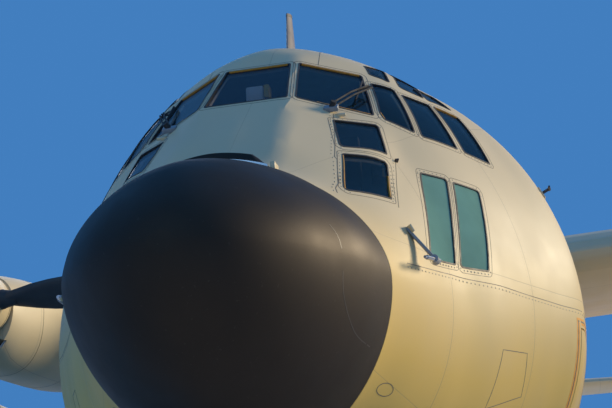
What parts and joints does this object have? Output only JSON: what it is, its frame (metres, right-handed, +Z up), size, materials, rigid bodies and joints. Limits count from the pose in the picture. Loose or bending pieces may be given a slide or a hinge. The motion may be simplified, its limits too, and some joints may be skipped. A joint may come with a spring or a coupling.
{
  "type": "military transport aeroplane, 1:2 scale model",
  "caption": "High-wing turboprop transport aeroplane on its gear, with hollow hold, flight deck, loading ramp and moving control surfaces.",
  "frame": {"origin": "on the ground, below the middle of the aeroplane's length and span", "axes": "+X forward out of the nose, +Y to port along the wing, +Z up"},
  "size_m": [14.895, 20.205, 5.83],
  "materials": {
    "paint": "gloss",
    "tail_skin": "gloss",
    "radome": "satin",
    "blade": "satin",
    "metal": "satin",
    "tyre": "matte",
    "interior": "matte"
  },
  "bodies": {
    "airframe": {"nose_section": "paint", "deck_fittings": "interior", "cabin_section": "paint", "rear_section": "paint", "tail_cone": "tail_skin", "radar_dish": "metal", "side_door_left": "paint", "side_door_right": "paint", "wing_center": "paint", "wing_left": "paint", "wing_right": "paint", "stabilizer": "tail_skin", "fin": "tail_skin", "nacelle_inner_left": "paint", "nacelle_inner_right": "paint", "nacelle_outer_left": "paint", "nacelle_outer_right": "paint", "fuel_tank_left": "paint", "fuel_tank_right": "paint", "gear_fairing_left": "paint", "gear_fairing_right": "paint", "main_gear_leg_left": "metal", "main_gear_leg_right": "metal", "nose_gear_leg": "metal"},
    "radome_body": {"radome": "radome"},
    "crew_door_body": {"crew_door": "paint"},
    "ramp_body": {"ramp": "paint"},
    "cargo_door_body": {"cargo_door": "paint"},
    "flap_inner_left_body": {"flap_inner_left": "paint"},
    "flap_inner_right_body": {"flap_inner_right": "paint"},
    "flap_outer_left_body": {"flap_outer_left": "paint"},
    "flap_outer_right_body": {"flap_outer_right": "paint"},
    "aileron_left_body": {"aileron_left": "paint"},
    "aileron_right_body": {"aileron_right": "paint"},
    "elevator_left_body": {"elevator_left": "tail_skin"},
    "elevator_right_body": {"elevator_right": "tail_skin"},
    "rudder_body": {"rudder": "tail_skin"},
    "propeller_inner_left_body": {"propeller_inner_left": "blade"},
    "propeller_inner_right_body": {"propeller_inner_right": "blade"},
    "propeller_outer_left_body": {"propeller_outer_left": "blade"},
    "propeller_outer_right_body": {"propeller_outer_right": "blade"},
    "main_wheel_front_left_body": {"main_wheel_front_left": "tyre"},
    "main_wheel_front_right_body": {"main_wheel_front_right": "tyre"},
    "main_wheel_rear_left_body": {"main_wheel_rear_left": "tyre"},
    "main_wheel_rear_right_body": {"main_wheel_rear_right": "tyre"},
    "nose_steering_body": {"nose_gear_fork": "metal"},
    "nose_wheels_body": {"nose_wheels": "tyre"}
  },
  "joints": [
    {"name": "radome_hinge", "type": "hinge", "parent": "airframe", "child": "radome_body", "pos_m": [6.9375, 0, 1.4725], "axis": [0, -1, 0], "range_deg": [0, 80]},
    {"name": "crew_door_hinge", "type": "hinge", "parent": "airframe", "child": "crew_door_body", "pos_m": [5.5275, 0.768, 0.545], "axis": [-0.9958, 0.0917, 0], "range_deg": [0, 90]},
    {"name": "ramp_hinge", "type": "hinge", "parent": "airframe", "child": "ramp_body", "pos_m": [-1.0325, 0, 0.31], "axis": [0, 1, 0], "range_deg": [-26, 0]},
    {"name": "cargo_door_hinge", "type": "hinge", "parent": "airframe", "child": "cargo_door_body", "pos_m": [-4.0625, 0, 1.38], "axis": [0, -1, 0], "range_deg": [0, 38]},
    {"name": "flap_inner_left_hinge", "type": "hinge", "parent": "airframe", "child": "flap_inner_left_body", "pos_m": [0.3399, 1.915, 2.24275], "axis": [0, -0.999, -0.0436], "range_deg": [0, 36]},
    {"name": "flap_inner_right_hinge", "type": "hinge", "parent": "airframe", "child": "flap_inner_right_body", "pos_m": [0.3399, -1.915, 2.24275], "axis": [0, -0.999, 0.0436], "range_deg": [0, 36]},
    {"name": "flap_outer_left_hinge", "type": "hinge", "parent": "airframe", "child": "flap_outer_left_body", "pos_m": [0.50958, 4.475, 2.35117], "axis": [-0.0959, -0.9945, -0.0415], "range_deg": [0, 36]},
    {"name": "flap_outer_right_hinge", "type": "hinge", "parent": "airframe", "child": "flap_outer_right_body", "pos_m": [0.50958, -4.475, 2.35117], "axis": [0.0959, -0.9945, 0.0415], "range_deg": [0, 36]},
    {"name": "aileron_left_hinge", "type": "hinge", "parent": "airframe", "child": "aileron_left_body", "pos_m": [0.87899, 7.975, 2.4986], "axis": [-0.0927, -0.9948, -0.0414], "range_deg": [-20, 20]},
    {"name": "aileron_right_hinge", "type": "hinge", "parent": "airframe", "child": "aileron_right_body", "pos_m": [0.87899, -7.975, 2.4986], "axis": [0.0927, -0.9948, 0.0414], "range_deg": [-20, 20]},
    {"name": "elevator_left_hinge", "type": "hinge", "parent": "airframe", "child": "elevator_left_body", "pos_m": [-6.09108, 2.1125, 2.31], "axis": [-0.0384, 0.9993, 0], "range_deg": [-15, 40]},
    {"name": "elevator_right_hinge", "type": "hinge", "parent": "airframe", "child": "elevator_right_body", "pos_m": [-6.09108, -2.1125, 2.31], "axis": [0.0384, 0.9993, 0], "range_deg": [-15, 40]},
    {"name": "rudder_hinge", "type": "hinge", "parent": "airframe", "child": "rudder_body", "pos_m": [-6.473, 0, 2.49], "axis": [-0.1638, 0, 0.9865], "range_deg": [-35, 35]},
    {"name": "propeller_inner_left_spin", "type": "hinge", "parent": "airframe", "child": "propeller_inner_left_body", "pos_m": [3.4275, 2.51, 1.98959], "axis": [1, 0, 0], "continuous": true},
    {"name": "propeller_inner_right_spin", "type": "hinge", "parent": "airframe", "child": "propeller_inner_right_body", "pos_m": [3.4275, -2.51, 1.98959], "axis": [1, 0, 0], "continuous": true},
    {"name": "propeller_outer_left_spin", "type": "hinge", "parent": "airframe", "child": "propeller_outer_left_body", "pos_m": [3.4275, 5.1, 2.10267], "axis": [1, 0, 0], "continuous": true},
    {"name": "propeller_outer_right_spin", "type": "hinge", "parent": "airframe", "child": "propeller_outer_right_body", "pos_m": [3.4275, -5.1, 2.10267], "axis": [1, 0, 0], "continuous": true},
    {"name": "main_wheel_front_left_spin", "type": "hinge", "parent": "airframe", "child": "main_wheel_front_left_body", "pos_m": [1.7575, 1.0875, 0.355], "axis": [0, 1, 0], "continuous": true},
    {"name": "main_wheel_front_right_spin", "type": "hinge", "parent": "airframe", "child": "main_wheel_front_right_body", "pos_m": [1.7575, -1.0875, 0.355], "axis": [0, 1, 0], "continuous": true},
    {"name": "main_wheel_rear_left_spin", "type": "hinge", "parent": "airframe", "child": "main_wheel_rear_left_body", "pos_m": [0.9975, 1.0875, 0.355], "axis": [0, 1, 0], "continuous": true},
    {"name": "main_wheel_rear_right_spin", "type": "hinge", "parent": "airframe", "child": "main_wheel_rear_right_body", "pos_m": [0.9975, -1.0875, 0.355], "axis": [0, 1, 0], "continuous": true},
    {"name": "nose_steering", "type": "hinge", "parent": "airframe", "child": "nose_steering_body", "pos_m": [6.2625, 0, 0.45], "axis": [0, 0, 1], "range_deg": [-60, 60]},
    {"name": "nose_wheels_spin", "type": "hinge", "parent": "nose_steering_body", "child": "nose_wheels_body", "pos_m": [6.2625, 0, 0.2475], "axis": [0, 1, 0], "continuous": true}
  ],
  "couplings": [
    {"joint": "flap_inner_right_hinge", "follows": "flap_inner_left_hinge", "ratio": 1},
    {"joint": "flap_outer_left_hinge", "follows": "flap_inner_left_hinge", "ratio": 1},
    {"joint": "flap_outer_right_hinge", "follows": "flap_inner_left_hinge", "ratio": 1},
    {"joint": "aileron_right_hinge", "follows": "aileron_left_hinge", "ratio": -1},
    {"joint": "elevator_right_hinge", "follows": "elevator_left_hinge", "ratio": 1}
  ]
}
